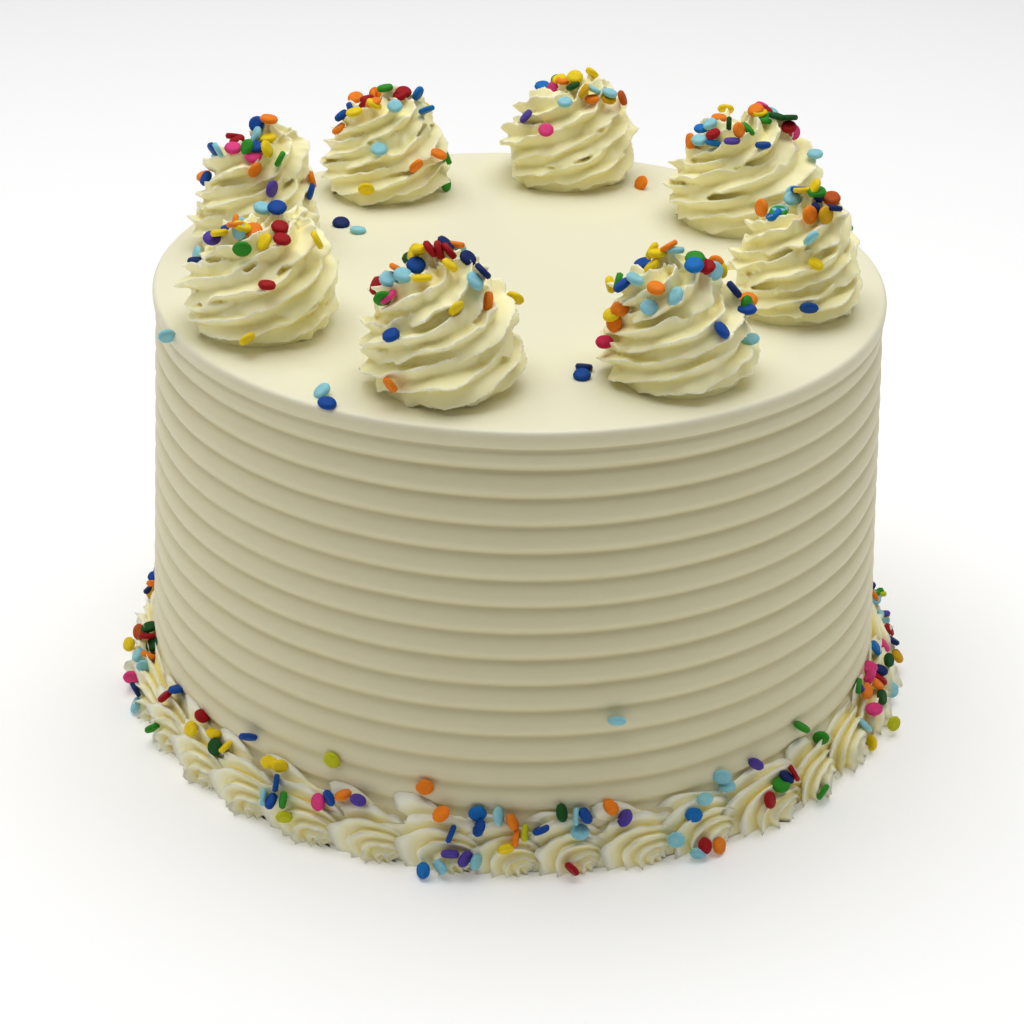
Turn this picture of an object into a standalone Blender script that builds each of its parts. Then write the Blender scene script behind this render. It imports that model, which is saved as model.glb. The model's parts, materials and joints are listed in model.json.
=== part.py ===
# Confetti cake: a round cake with a combed side, eight piped swirls on top,
# a piped shell border round its foot, and round confetti sprinkles.
# Metres, +Z up. The origin is on the cake's axis, level with its foot.
import math
import random

import bmesh
import bpy
from mathutils import Matrix, Vector

MM = 0.001

# Cake body
CAKE_HEIGHT = 118.6 * MM
CAKE_SEGMENTS = 48
SIDE_RADIUS = 99.5 * MM  # at half height
SIDE_TAPER = 0.0645  # radius lost for each metre of height
SIDE_MID_HEIGHT = 60.0 * MM
COMB_FIRST_GROOVE = 23.7 * MM
COMB_LAST_GROOVE = 108.1 * MM
COMB_RIDGES = 12
COMB_DEPTH = 1.4 * MM
COMB_CREST_SHARE = 0.45  # how far up each ridge its crest is
LIP_LINE_HEIGHT = 114.0 * MM
LIP_LINE_DEPTH = 0.7 * MM
LIP_BULGE = 1.3 * MM
LIP_BULGE_HEIGHT = 116.2 * MM
LIP_INNER_RADIUS = 95.6 * MM

# Swirls: angle round the cake in degrees, distance from its axis, width, height, and how far
# the peak leans along X
SWIRLS = {
    "swirl_1": (-104.4, 71.8 * MM, 41.4 * MM, 34.6 * MM, -2.0 * MM),
    "swirl_2": (-58.6, 73.6 * MM, 38.8 * MM, 32.6 * MM, -4.0 * MM),
    "swirl_3": (-15.5, 72.1 * MM, 36.6 * MM, 32.3 * MM, 4.0 * MM),
    "swirl_4": (35.0, 75.8 * MM, 44.0 * MM, 31.9 * MM, 2.0 * MM),
    "swirl_5": (81.0, 77.5 * MM, 42.6 * MM, 30.0 * MM, 5.0 * MM),
    "swirl_6": (123.0, 73.6 * MM, 38.6 * MM, 31.0 * MM, 3.0 * MM),
    "swirl_7": (165.5, 74.6 * MM, 37.4 * MM, 35.3 * MM, 4.5 * MM),
    "swirl_8": (-150.0, 75.0 * MM, 42.0 * MM, 30.6 * MM, 6.5 * MM),
}
SWIRL_FLUTES = 10
SWIRL_RINGS = 13
SWIRL_TWIST = math.radians(200.0)  # how far a flute winds from foot to peak
SWIRL_COIL_PITCH = 12.5 * MM
SWIRL_SEAM_DEPTH = 0.17  # share of the radius
SWIRL_SEAM_WIDTH = 2.0  # exponent: the higher, the narrower the seam between two coils
SWIRL_FLUTE_DEPTH = 0.075  # share of the radius
SWIRL_SHOULDER = 1.5  # exponents of the outline from foot to peak
SWIRL_TIP = 0.55
SWIRL_FOOT_SHARE = 0.90
SWIRL_FOOT_HEIGHT = 0.12  # share of the height over which the foot swells
SWIRL_RING_SPACING = 1.15  # exponent: the rings lie closer together at the foot and the peak

# Shell border
SHELLS = 36
SHELL_FIRST_NOTCH = math.radians(-87.2)
SHELL_HEIGHT = 20.5 * MM
SHELL_OUTER_RADIUS = 109.6 * MM
SHELL_STATIONS = ((0.0, 0.70), (0.14, 0.95), (0.42, 1.0), (0.74, 0.84))  # share of its length, size
SHELL_RIDGES = 3
SHELL_RIDGE_DEPTH = 0.9 * MM
SHELL_FOOT_ANGLE = math.radians(-52.0)
SHELL_TOP_ANGLE = math.radians(88.0)
SHELL_CENTRE_HEIGHT = 0.47  # share of the shell height

# Sprinkles: flat round discs
SPRINKLE_RADIUS = 2.35 * MM
SPRINKLE_THICKNESS = 1.3 * MM
SPRINKLE_SIDES = 7
SPRINKLE_RISE = 0.25 * MM  # the disc's middle above the surface it lies on
SPRINKLES_PER_SWIRL = 5
SPRINKLE_TOP_LEVEL = 0.90  # shares of a swirl's height between which they lie
SPRINKLE_LOW_LEVEL = 0.45
SPRINKLES_ON_BORDER = 36
SPRINKLE_TILTS = (math.radians(8.0), math.radians(58.0))  # on the border, from facing out to up
SPRINKLES_ON_TOP = (  # X and Y of the loose ones on the cake's flat top
    (-50.3 * MM, 32.8 * MM),
    (-44.0 * MM, 27.6 * MM),
    (-16.5 * MM, 66.0 * MM),
    (40.0 * MM, 69.5 * MM),
    (14.8 * MM, -66.0 * MM),
    (-45.8 * MM, -74.5 * MM),
    (-42.5 * MM, -81.0 * MM),
)
SPRINKLES_ON_SIDE = (  # angle round the cake in degrees, and height
    (-75.0, 41.7 * MM),
    (-116.0, 27.2 * MM),
)
GOLDEN_ANGLE = math.pi * (3.0 - math.sqrt(5.0))

GAP = 0.3 * MM  # between one piece and the next


def remove_all_objects():
    for old in list(bpy.data.objects):
        bpy.data.objects.remove(old, do_unlink=True)


def make_material(name, colour, roughness):
    material = bpy.data.materials.new(name)
    material.use_nodes = True
    shader = material.node_tree.nodes["Principled BSDF"]
    shader.inputs["Base Color"].default_value = (*colour, 1.0)
    shader.inputs["Roughness"].default_value = roughness
    shader.inputs["Metallic"].default_value = 0.0
    return material


def make_object(name, bm, material, collection=None):
    """Puts a bmesh into a named object, smooth shaded with sharp ridges kept."""
    bmesh.ops.recalc_face_normals(bm, faces=bm.faces)
    mesh = bpy.data.meshes.new(name)
    bm.to_mesh(mesh)
    bm.free()
    mesh.materials.append(material)
    mesh.shade_smooth()
    mesh.set_sharp_from_angle(angle=math.radians(40.0))
    made = bpy.data.objects.new(name, mesh)
    (collection or bpy.context.scene.collection).objects.link(made)
    return made


def polar(radius, angle, height):
    return Vector((radius * math.cos(angle), radius * math.sin(angle), height))


def join_rings(bm, lower, upper, lean=0):
    """Faces between two closed rings; lean 1 cuts each quad along its other diagonal."""
    count = len(lower)
    for i in range(count):
        j = (i + 1) % count
        if lean:
            bm.faces.new((lower[i], lower[j], upper[i]))
            bm.faces.new((lower[j], upper[j], upper[i]))
        else:
            bm.faces.new((lower[i], lower[j], upper[j], upper[i]))


# Cake body


def side_radius(height):
    return SIDE_RADIUS - SIDE_TAPER * (height - SIDE_MID_HEIGHT)


def cake_profile():
    """Radius and height of each ring, from the foot up the combed side to the top's edge."""
    pitch = (COMB_LAST_GROOVE - COMB_FIRST_GROOVE) / COMB_RIDGES
    points = [(side_radius(0.0), 0.0)]
    for ridge in range(-1, COMB_RIDGES + 1):
        groove = COMB_FIRST_GROOVE + ridge * pitch
        crest = groove + COMB_CREST_SHARE * pitch
        if ridge >= 0:
            points.append((side_radius(groove) - COMB_DEPTH, groove))
        points.append((side_radius(crest), crest))
    points.append((side_radius(LIP_LINE_HEIGHT) - LIP_LINE_DEPTH, LIP_LINE_HEIGHT))
    points.append((side_radius(LIP_BULGE_HEIGHT) + LIP_BULGE, LIP_BULGE_HEIGHT))
    points.append((LIP_INNER_RADIUS, CAKE_HEIGHT))
    return points


def build_cake(material):
    bm = bmesh.new()
    rings = []
    for radius, height in cake_profile():
        angles = (2.0 * math.pi * i / CAKE_SEGMENTS for i in range(CAKE_SEGMENTS))
        rings.append([bm.verts.new(polar(radius, angle, height)) for angle in angles])
    for lower, upper in zip(rings, rings[1:]):
        join_rings(bm, lower, upper)
    bm.faces.new(rings[0])
    bm.faces.new(rings[-1])
    return make_object("cake", bm, material)


# Swirls


def swirl_outline(level):
    """Share of the full radius at a level from 0 at the foot to 1 at the peak."""
    taper = (1.0 - level**SWIRL_SHOULDER) ** SWIRL_TIP
    swell = min(level / SWIRL_FOOT_HEIGHT, 1.0)
    return taper * (SWIRL_FOOT_SHARE + (1.0 - SWIRL_FOOT_SHARE) * swell)


def swirl_point(swirl, level, turn, flute):
    """A point on a swirl; turn winds round its axis, flute is 1 on a crest and -1 in a fold."""
    angle, distance, width, height, lean = swirl
    rise = level * height
    coil = rise / SWIRL_COIL_PITCH - turn / (2.0 * math.pi)
    seam = (0.5 + 0.5 * math.cos(2.0 * math.pi * coil)) ** SWIRL_SEAM_WIDTH
    radius = 0.5 * width * swirl_outline(level)
    radius *= (1.0 - SWIRL_SEAM_DEPTH * seam) * (1.0 + SWIRL_FLUTE_DEPTH * flute)
    centre = polar(distance, math.radians(angle), CAKE_HEIGHT + GAP)
    sway = Vector((lean * level**2, 0.0, 0.0))
    return centre + sway + polar(radius, turn, rise)


def build_swirl(name, swirl, material):
    bm = bmesh.new()
    columns = 2 * SWIRL_FLUTES
    rings = []
    for ring in range(SWIRL_RINGS):
        level = math.sin(0.5 * math.pi * ring / SWIRL_RINGS) ** SWIRL_RING_SPACING
        twist = SWIRL_TWIST * level
        points = []
        for column in range(columns):
            turn = 2.0 * math.pi * column / columns + twist
            flute = 1.0 if column % 2 == 0 else -1.0
            points.append(bm.verts.new(swirl_point(swirl, level, turn, flute)))
        rings.append(points)
    for lower, upper in zip(rings, rings[1:]):
        join_rings(bm, lower, upper, lean=1)
    bm.faces.new(rings[0])
    peak = bm.verts.new(swirl_point(swirl, 1.0, 0.0, 0.0))
    top = rings[-1]
    for i in range(columns):
        bm.faces.new((top[i], top[(i + 1) % columns], peak))
    return make_object(name, bm, material)


# Shell border


def shell_size(angle):
    """Size of the shell at an angle round the cake: it swells at its head and thins to its tail."""
    share = ((angle - SHELL_FIRST_NOTCH) / (2.0 * math.pi) * SHELLS) % 1.0
    stations = SHELL_STATIONS + ((1.0, SHELL_STATIONS[0][1]),)
    for (start, low), (end, high) in zip(stations, stations[1:]):
        if share <= end:
            return low + (high - low) * (share - start) / (end - start)
    return stations[-1][1]


def shell_outer_point(angle, tilt, ridge):
    """A point on the outer face of the border; tilt is 0 facing out and 90 degrees facing up."""
    size = shell_size(angle)
    middle = SHELL_CENTRE_HEIGHT * SHELL_HEIGHT
    inner = side_radius(middle) + GAP
    reach = (SHELL_OUTER_RADIUS - inner) * size + SHELL_RIDGE_DEPTH * ridge
    rise = (SHELL_HEIGHT * size - middle) + 0.5 * SHELL_RIDGE_DEPTH * ridge
    drop = middle / math.sin(-SHELL_FOOT_ANGLE)
    vertical = rise * math.sin(tilt) if tilt > 0.0 else drop * math.sin(tilt)
    return polar(inner + reach * math.cos(tilt), angle, middle + vertical)


def build_border(material):
    bm = bmesh.new()
    sections = []
    inner_gap = GAP / math.cos(math.pi / CAKE_SEGMENTS)
    steps = 2 * SHELL_RIDGES
    for shell in range(SHELLS):
        for share, _ in SHELL_STATIONS:
            angle = SHELL_FIRST_NOTCH + 2.0 * math.pi * (shell + share) / SHELLS
            outer = []
            for step in range(steps + 1):
                tilt = SHELL_FOOT_ANGLE + (SHELL_TOP_ANGLE - SHELL_FOOT_ANGLE) * step / steps
                ridge = 1.0 if step % 2 == 1 else 0.0
                outer.append(shell_outer_point(angle, tilt, ridge))
            top = outer[-1].z
            inner = [polar(side_radius(height) + inner_gap, angle, height) for height in (top, 0.0)]
            sections.append([bm.verts.new(point) for point in outer + inner])
    for section, after in zip(sections, sections[1:] + sections[:1]):
        join_rings(bm, section, after)
    return make_object("shell_border", bm, material)


# Sprinkles


def disc_frame(middle, normal, spin):
    """Places a disc that is built round Z so that its face looks along the normal."""
    turn = Vector((0.0, 0.0, 1.0)).rotation_difference(normal.normalized()).to_matrix().to_4x4()
    return Matrix.Translation(middle) @ turn @ Matrix.Rotation(spin, 4, "Z")


def disc_rim(frame):
    """The corners of a disc, for testing that it is clear of another piece."""
    corners = []
    for i in range(SPRINKLE_SIDES):
        for side in (-0.5, 0.5):
            corner = polar(SPRINKLE_RADIUS, 2.0 * math.pi * i / SPRINKLE_SIDES, side * SPRINKLE_THICKNESS)
            corners.append(frame @ corner)
    return corners


def surface_normal(surface, a, b, step=0.02):
    """Outward normal of a surface given as a function of two values."""
    along = surface(a + step, b) - surface(a - step, b)
    across = surface(a, b + step) - surface(a, b - step)
    return across.cross(along).normalized()


def swirl_sprinkles(swirl, rng):
    """Discs wound round the upper half of a swirl, from its peak down."""
    start = rng.uniform(0.0, 2.0 * math.pi)
    frames = []
    for k in range(SPRINKLES_PER_SWIRL):
        share = k / (SPRINKLES_PER_SWIRL - 1)
        level = SPRINKLE_TOP_LEVEL + (SPRINKLE_LOW_LEVEL - SPRINKLE_TOP_LEVEL) * share
        turn = start + k * GOLDEN_ANGLE + rng.uniform(-0.2, 0.2)
        normal = surface_normal(lambda t, l: swirl_point(swirl, l, t, 0.0), turn, level)
        middle = swirl_point(swirl, level, turn, 0.5) + normal * SPRINKLE_RISE
        frames.append(disc_frame(middle, normal, rng.uniform(0.0, math.pi)))
    return frames


def border_sprinkles(rng):
    """Discs spread evenly round the border, each one kept clear of the cake and the floor."""
    frames = []
    for k in range(SPRINKLES_ON_BORDER):
        angle = 2.0 * math.pi * (k + rng.uniform(-0.3, 0.3)) / SPRINKLES_ON_BORDER
        tilt = rng.uniform(*SPRINKLE_TILTS)
        normal = polar(math.cos(tilt), angle, math.sin(tilt))
        middle = shell_outer_point(angle, tilt, 0.5) + normal * SPRINKLE_RISE
        frame = disc_frame(middle, normal, rng.uniform(0.0, math.pi))
        rim = disc_rim(frame)
        clear_of_cake = all(math.hypot(p.x, p.y) > side_radius(p.z) + 2.0 * GAP for p in rim)
        if clear_of_cake and all(p.z > GAP for p in rim):
            frames.append(frame)
    return frames


def cake_sprinkles(rng):
    """The loose discs that lie on the cake's top and stick to its side."""
    frames = []
    for x, y in SPRINKLES_ON_TOP:
        middle = Vector((x, y, CAKE_HEIGHT + SPRINKLE_RISE))
        frames.append(disc_frame(middle, Vector((0.0, 0.0, 1.0)), rng.uniform(0.0, math.pi)))
    for degrees, height in SPRINKLES_ON_SIDE:
        angle = math.radians(degrees)
        middle = polar(side_radius(height) + SPRINKLE_RISE, angle, height)
        frames.append(disc_frame(middle, polar(1.0, angle, 0.0), 0.0))
    return frames


def keep_main_body(mesh):
    """Drops any loose scrap that the union leaves."""
    bm = bmesh.new()
    bm.from_mesh(mesh)
    left = set(bm.verts)
    bodies = []
    while left:
        body = {left.pop()}
        reached = list(body)
        while reached:
            vert = reached.pop()
            near = {edge.other_vert(vert) for edge in vert.link_edges} & left
            left -= near
            body |= near
            reached += near
        bodies.append(body)
    bodies.sort(key=len)
    for scrap in bodies[:-1]:
        bmesh.ops.delete(bm, geom=list(scrap), context="VERTS")
    bm.to_mesh(mesh)
    bm.free()


def fuse_sprinkles(host, frames, material):
    """Joins discs to the piece that they lie on, with one union for them all."""
    group = bpy.data.collections.new(host.name + "_sprinkles")
    bpy.context.scene.collection.children.link(group)
    for frame in frames:
        bm = bmesh.new()
        bmesh.ops.create_cone(
            bm,
            cap_ends=True,
            segments=SPRINKLE_SIDES,
            radius1=SPRINKLE_RADIUS,
            radius2=SPRINKLE_RADIUS,
            depth=SPRINKLE_THICKNESS,
            matrix=frame,
        )
        make_object(host.name + "_sprinkle", bm, material, group)
    union = host.modifiers.new("fuse_sprinkles", "BOOLEAN")
    union.operation = "UNION"
    union.operand_type = "COLLECTION"
    union.collection = group
    union.solver = "EXACT"
    bpy.context.view_layer.update()
    evaluated = host.evaluated_get(bpy.context.evaluated_depsgraph_get())
    joined = bpy.data.meshes.new_from_object(evaluated)
    host.modifiers.remove(union)
    host.data = joined
    keep_main_body(joined)
    joined.materials.clear()
    joined.materials.append(material)
    for disc in list(group.objects):
        bpy.data.objects.remove(disc, do_unlink=True)
    bpy.data.collections.remove(group)


def main():
    remove_all_objects()
    rng = random.Random(8)
    cream = make_material("cake_cream", (0.83, 0.79, 0.60), 0.5)
    piped = make_material("piped_cream", (0.87, 0.84, 0.66), 0.5)
    cake = build_cake(cream)
    fuse_sprinkles(cake, cake_sprinkles(rng), cream)
    for name, swirl in SWIRLS.items():
        made = build_swirl(name, swirl, piped)
        fuse_sprinkles(made, swirl_sprinkles(swirl, rng), piped)
    border = build_border(piped)
    fuse_sprinkles(border, border_sprinkles(rng), piped)


main()
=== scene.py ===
import json
import math
import random

import bmesh
import bpy
import numpy as np
from mathutils import Matrix, Vector
from mathutils.bvhtree import BVHTree

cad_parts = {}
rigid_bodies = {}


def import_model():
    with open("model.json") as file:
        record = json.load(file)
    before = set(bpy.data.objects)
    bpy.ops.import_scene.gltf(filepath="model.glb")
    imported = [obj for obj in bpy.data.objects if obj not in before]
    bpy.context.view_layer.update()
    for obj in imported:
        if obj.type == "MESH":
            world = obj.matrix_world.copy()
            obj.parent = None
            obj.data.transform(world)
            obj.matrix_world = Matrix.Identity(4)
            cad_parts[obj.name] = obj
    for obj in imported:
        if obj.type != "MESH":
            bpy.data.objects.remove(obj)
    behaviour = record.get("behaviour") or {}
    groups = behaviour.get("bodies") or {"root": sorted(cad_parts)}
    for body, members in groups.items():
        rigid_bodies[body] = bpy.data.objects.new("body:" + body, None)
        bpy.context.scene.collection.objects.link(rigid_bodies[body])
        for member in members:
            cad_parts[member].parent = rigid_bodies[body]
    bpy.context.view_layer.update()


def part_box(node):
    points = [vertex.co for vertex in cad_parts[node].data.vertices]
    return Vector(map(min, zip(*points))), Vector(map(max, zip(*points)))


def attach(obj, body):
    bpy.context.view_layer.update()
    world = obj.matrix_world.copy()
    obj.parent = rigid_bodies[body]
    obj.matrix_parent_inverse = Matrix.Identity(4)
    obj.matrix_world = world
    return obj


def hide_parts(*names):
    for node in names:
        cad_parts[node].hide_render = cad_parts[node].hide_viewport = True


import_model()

# Confetti cake: combed sides, eight piped swirls, a shell border and round sprinkles. Metres, +Z up.
mm = 0.001
scene = bpy.context.scene
swirlGap = 0.3 * mm  # between the top and the swirls' solids
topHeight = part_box("swirl_1")[0][2] - swirlGap


# Camera, light and floor

cameraSetup = {
    "lens": 75.27,
    "sensor": 36.0,
    "pixels": 1024,
    "back": 530.5 * mm,  # from the cake's axis
    "height": 333.2 * mm,  # above the foot
    "down": 28.45,  # degrees
    "turn": 0.09,
    "roll": 1.19,
    "clipStart": 10.0 * mm,
}
halfFrame = cameraSetup["pixels"] / 2.0
perPixel = cameraSetup["sensor"] / cameraSetup["lens"] / cameraSetup["pixels"]

lightSetup = {
    "lamps": {
        "overhead": {"place": (-0.05, 0.16, 1.25), "size": (1.5, 1.2), "watts": 15.5},
        "left": {"place": (-1.3, 0.1, 0.55), "size": (0.9, 0.9), "watts": 2.0},
        "right": {"place": (1.3, 0.0, 0.55), "size": (0.9, 0.9), "watts": 1.2},
    },
    "aim": (0.0, 0.0, 0.06),
    "worldStrength": 0.22,
    "worldColour": (1.0, 1.0, 1.0),
}

floorLook = {
    "size": 4.0,  # metres each way from the middle
    "colour": (0.94, 0.94, 0.94),
    "shade": 0.985,  # its faint clouds, as a share of the colour
    "cloudScale": 3.0,
    "roughness": 0.6,
    "glow": 0.14,
    "glowColour": (1.0, 1.0, 1.0, 1.0),
}


def addObject(name, data):
    made = bpy.data.objects.new(name, data)
    scene.collection.objects.link(made)
    return made


def makeCamera(setup):
    data = bpy.data.cameras.new("camera")
    data.lens = setup["lens"]
    data.sensor_width = setup["sensor"]
    data.clip_start = setup["clipStart"]
    camera = addObject("camera", data)
    aim = Matrix.Rotation(math.radians(setup["turn"]), 4, "Z")
    aim = aim @ Matrix.Rotation(math.radians(90.0 - setup["down"]), 4, "X")
    aim = aim @ Matrix.Rotation(math.radians(setup["roll"]), 4, "Z")
    camera.matrix_world = Matrix.Translation((0.0, -setup["back"], setup["height"])) @ aim
    scene.camera = camera
    return camera.matrix_world.copy()


def pixelRay(cameraPlace, x, y):
    aim = Vector(((x - halfFrame) * perPixel, (halfFrame - y) * perPixel, -1.0))
    return cameraPlace.translation, (cameraPlace.to_3x3() @ aim).normalized()


def seenAt(cameraPlace, place):
    # the photo's pixel at which a place is seen
    x, y, z = cameraPlace.inverted() @ place
    return halfFrame - x / z / perPixel, halfFrame + y / z / perPixel


def makeLights(setup):
    for name, light in setup["lamps"].items():
        data = bpy.data.lights.new(name + "Light", "AREA")
        data.shape = "RECTANGLE"
        data.size, data.size_y = light["size"]
        data.energy = light["watts"]
        lamp = addObject(name + "Light", data)
        place = Vector(light["place"])
        aim = (Vector(setup["aim"]) - place).to_track_quat("-Z", "Y")
        lamp.matrix_world = Matrix.Translation(place) @ aim.to_matrix().to_4x4()
    world = bpy.data.worlds.new("studio")
    world.use_nodes = True
    background = world.node_tree.nodes["Background"]
    background.inputs["Color"].default_value = (*setup["worldColour"], 1.0)
    background.inputs["Strength"].default_value = setup["worldStrength"]
    scene.world = world
    scene.view_settings.view_transform = "Standard"


def makeFloor(look):
    bm = bmesh.new()
    bmesh.ops.create_grid(bm, x_segments=2, y_segments=2, size=look["size"])
    mesh = bpy.data.meshes.new("floor")
    bm.to_mesh(mesh)
    bm.free()
    mesh.materials.append(floorFinish(look))
    floor = addObject("floor", mesh)


# Node helpers


def wire(tree, socket, value):
    # a link where the value is another node's socket, or else a plain value
    if isinstance(value, bpy.types.NodeSocket):
        tree.links.new(value, socket)
    else:
        socket.default_value = value


def addNode(tree, kind, **wires):
    # a name's underscores stand for spaces
    node = tree.nodes.new(kind)
    for name, value in wires.items():
        wire(tree, node.inputs[name.replace("_", " ")], value)
    return node


def calculate(tree, operation, *values):
    node = tree.nodes.new("ShaderNodeMath")
    node.operation = operation
    for socket, value in zip(node.inputs, values):
        wire(tree, socket, value)
    return node.outputs[0]


def times(tree, first, second):
    return calculate(tree, "MULTIPLY", first, second)


def vectorMath(tree, operation, vector, other):
    node = tree.nodes.new("ShaderNodeVectorMath")
    node.operation = operation
    wire(tree, node.inputs[0], vector)
    wire(tree, node.inputs["Scale"] if operation == "SCALE" else node.inputs[1], other)
    return node.outputs[0]


def blend(tree, share, first, second):
    mix = tree.nodes.new("ShaderNodeMix")
    mix.data_type = "RGBA"
    wire(tree, mix.inputs["Factor"], share)
    for label, colour in (("A", first), ("B", second)):
        wire(tree, mix.inputs[label], colour if isinstance(colour, bpy.types.NodeSocket) else (*colour, 1.0))
    return mix.outputs["Result"]


def ramp(tree, source, low, high):
    span = addNode(tree, "ShaderNodeMapRange", Value=source, From_Min=low, From_Max=high)
    return span.outputs["Result"]


def noise(tree, place, scale, detail=2.0, rough=0.5):
    grain = addNode(tree, "ShaderNodeTexNoise", Vector=place, Scale=scale, Detail=detail, Roughness=rough)
    return grain.outputs["Fac"]


def storedValue(tree, name, kind):
    stored = tree.nodes.new("GeometryNodeInputNamedAttribute")
    stored.data_type = kind
    stored.inputs["Name"].default_value = name
    return stored.outputs["Attribute"]


def copiesOn(tree, points, instance, **more):
    # copies on points that carry their own turns and sizes
    node = addNode(tree, "GeometryNodeInstanceOnPoints", Points=points, Instance=instance, **more)
    tree.links.new(storedValue(tree, "facing", "FLOAT_VECTOR"), node.inputs["Rotation"])
    tree.links.new(storedValue(tree, "swell", "FLOAT_VECTOR"), node.inputs["Scale"])
    return node.outputs[0]


def newTree(name, sockets):
    tree = bpy.data.node_groups.new(name, "GeometryNodeTree")
    tree.interface.new_socket("Geometry", in_out="INPUT", socket_type="NodeSocketGeometry")
    for label, (kind, value) in sockets.items():
        socket = tree.interface.new_socket(label, in_out="INPUT", socket_type="NodeSocket" + kind)
        if value is not None:
            socket.default_value = value
    tree.interface.new_socket("Geometry", in_out="OUTPUT", socket_type="NodeSocketGeometry")
    return tree, tree.nodes.new("NodeGroupInput").outputs, tree.nodes.new("NodeGroupOutput").inputs


def endTree(tree, geometry, material, result):
    real = addNode(tree, "GeometryNodeRealizeInstances", Geometry=geometry)
    painted = addNode(tree, "GeometryNodeSetMaterial", Geometry=real.outputs[0], Material=material)
    tree.links.new(painted.outputs[0], result["Geometry"])


# Materials

creamLook = {
    "roughness": 0.45,
    "scatter": 0.12,  # share of light that goes under the surface
    "scatterReach": 1.5 * mm,
    "scatterColours": (1.0, 0.75, 0.45),
    "cloudScale": 45.0,
    "cloudDetail": 3.0,
    "cloudPaleness": 0.25,  # how far the clouds go towards the crests' colour, the painted highlight
    "topFrom": 1.8 * mm,  # below the top, where the top's paler colour, painted light on the top, starts to come in, and where it is full
    "topFull": 0.3 * mm,
    "foldFrom": 0.50,  # pointiness: folds, which get a painted shade, are below it, and crests, which get a painted highlight, above
    "crestFrom": 0.51,
    "grainScale": 420.0,
    "grainDetail": 5.0,
    "grainRoughness": 0.6,
    "bump": 0.5,
    "bumpDepth": 0.12 * mm,
}

# sharp is how far the pointiness goes for the full painted shade of the folds or painted highlight of the
# crests, streaks how flat the grain is
creams = {
    "combedCream": {
        "body": (0.735, 0.67, 0.42),
        "fold": (0.67, 0.58, 0.28),
        "crest": (0.83, 0.80, 0.60),
        # top: lit and shaded copies of one cream, painted light makes the top paler than the side's body
        "top": (0.83, 0.80, 0.60),
        "sharp": 0.09,
        "streaks": 8.0,
    },
    "pipedCream": {
        "body": (0.955, 0.89, 0.48),
        "fold": (0.87, 0.73, 0.16),
        "crest": (1.0, 0.985, 0.84),
        "sharp": 0.09,
        "streaks": 1.0,
    },
    "borderCream": {
        "body": (0.96, 0.90, 0.54),
        "fold": (0.84, 0.68, 0.14),
        "crest": (1.0, 0.97, 0.75),
        "sharp": 0.05,
        "streaks": 1.0,
    },
}

sprinkleLook = {
    "roughness": 0.6,
    "gloss": 0.12,
    "mottleScale": 700.0,
    "mottleDetail": 4.0,
    "dark": 0.82,
    "light": 1.12,
    "lift": 0.003,
    "bump": 0.5,
    "bumpDepth": 0.08 * mm,
}

sprinkleColours = {  # base colours, from the photo's own sprinkles
    "royalBlue": (0.006, 0.065, 0.32),
    "azure": (0.008, 0.16, 0.50),
    "navy": (0.008, 0.022, 0.12),
    "sky": (0.27, 0.60, 0.68),
    "yellow": (0.85, 0.62, 0.012),
    "lime": (0.53, 0.55, 0.01),
    "orange": (0.86, 0.22, 0.012),
    "green": (0.03, 0.27, 0.02),
    "darkGreen": (0.01, 0.08, 0.015),
    "darkRed": (0.35, 0.006, 0.01),
    "pink": (0.75, 0.05, 0.22),
    "purple": (0.09, 0.05, 0.34),
    "rust": (0.50, 0.08, 0.006),
    "mustard": (0.66, 0.36, 0.006),
    "crimson": (0.58, 0.015, 0.07),
}


def newFinish(name, roughness):
    material = bpy.data.materials.new(name)
    material.use_nodes = True
    tree = material.node_tree
    shader = tree.nodes["Principled BSDF"]
    shader.inputs["Roughness"].default_value = roughness
    return material, tree, shader.inputs, addNode(tree, "ShaderNodeTexCoord").outputs["Object"]


def roughen(tree, shader, height, look):
    bump = addNode(tree, "ShaderNodeBump", Height=height, Strength=look["bump"], Distance=look["bumpDepth"])
    tree.links.new(bump.outputs["Normal"], shader["Normal"])


def floorFinish(look):
    material, tree, shader, place = newFinish("paleFloor", look["roughness"])
    darker = tuple(look["shade"] * c for c in look["colour"])
    clouds = noise(tree, place, look["cloudScale"])
    tree.links.new(blend(tree, clouds, look["colour"], darker), shader["Base Color"])
    shader["Emission Color"].default_value = look["glowColour"]
    shader["Emission Strength"].default_value = look["glow"]
    return material


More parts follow.
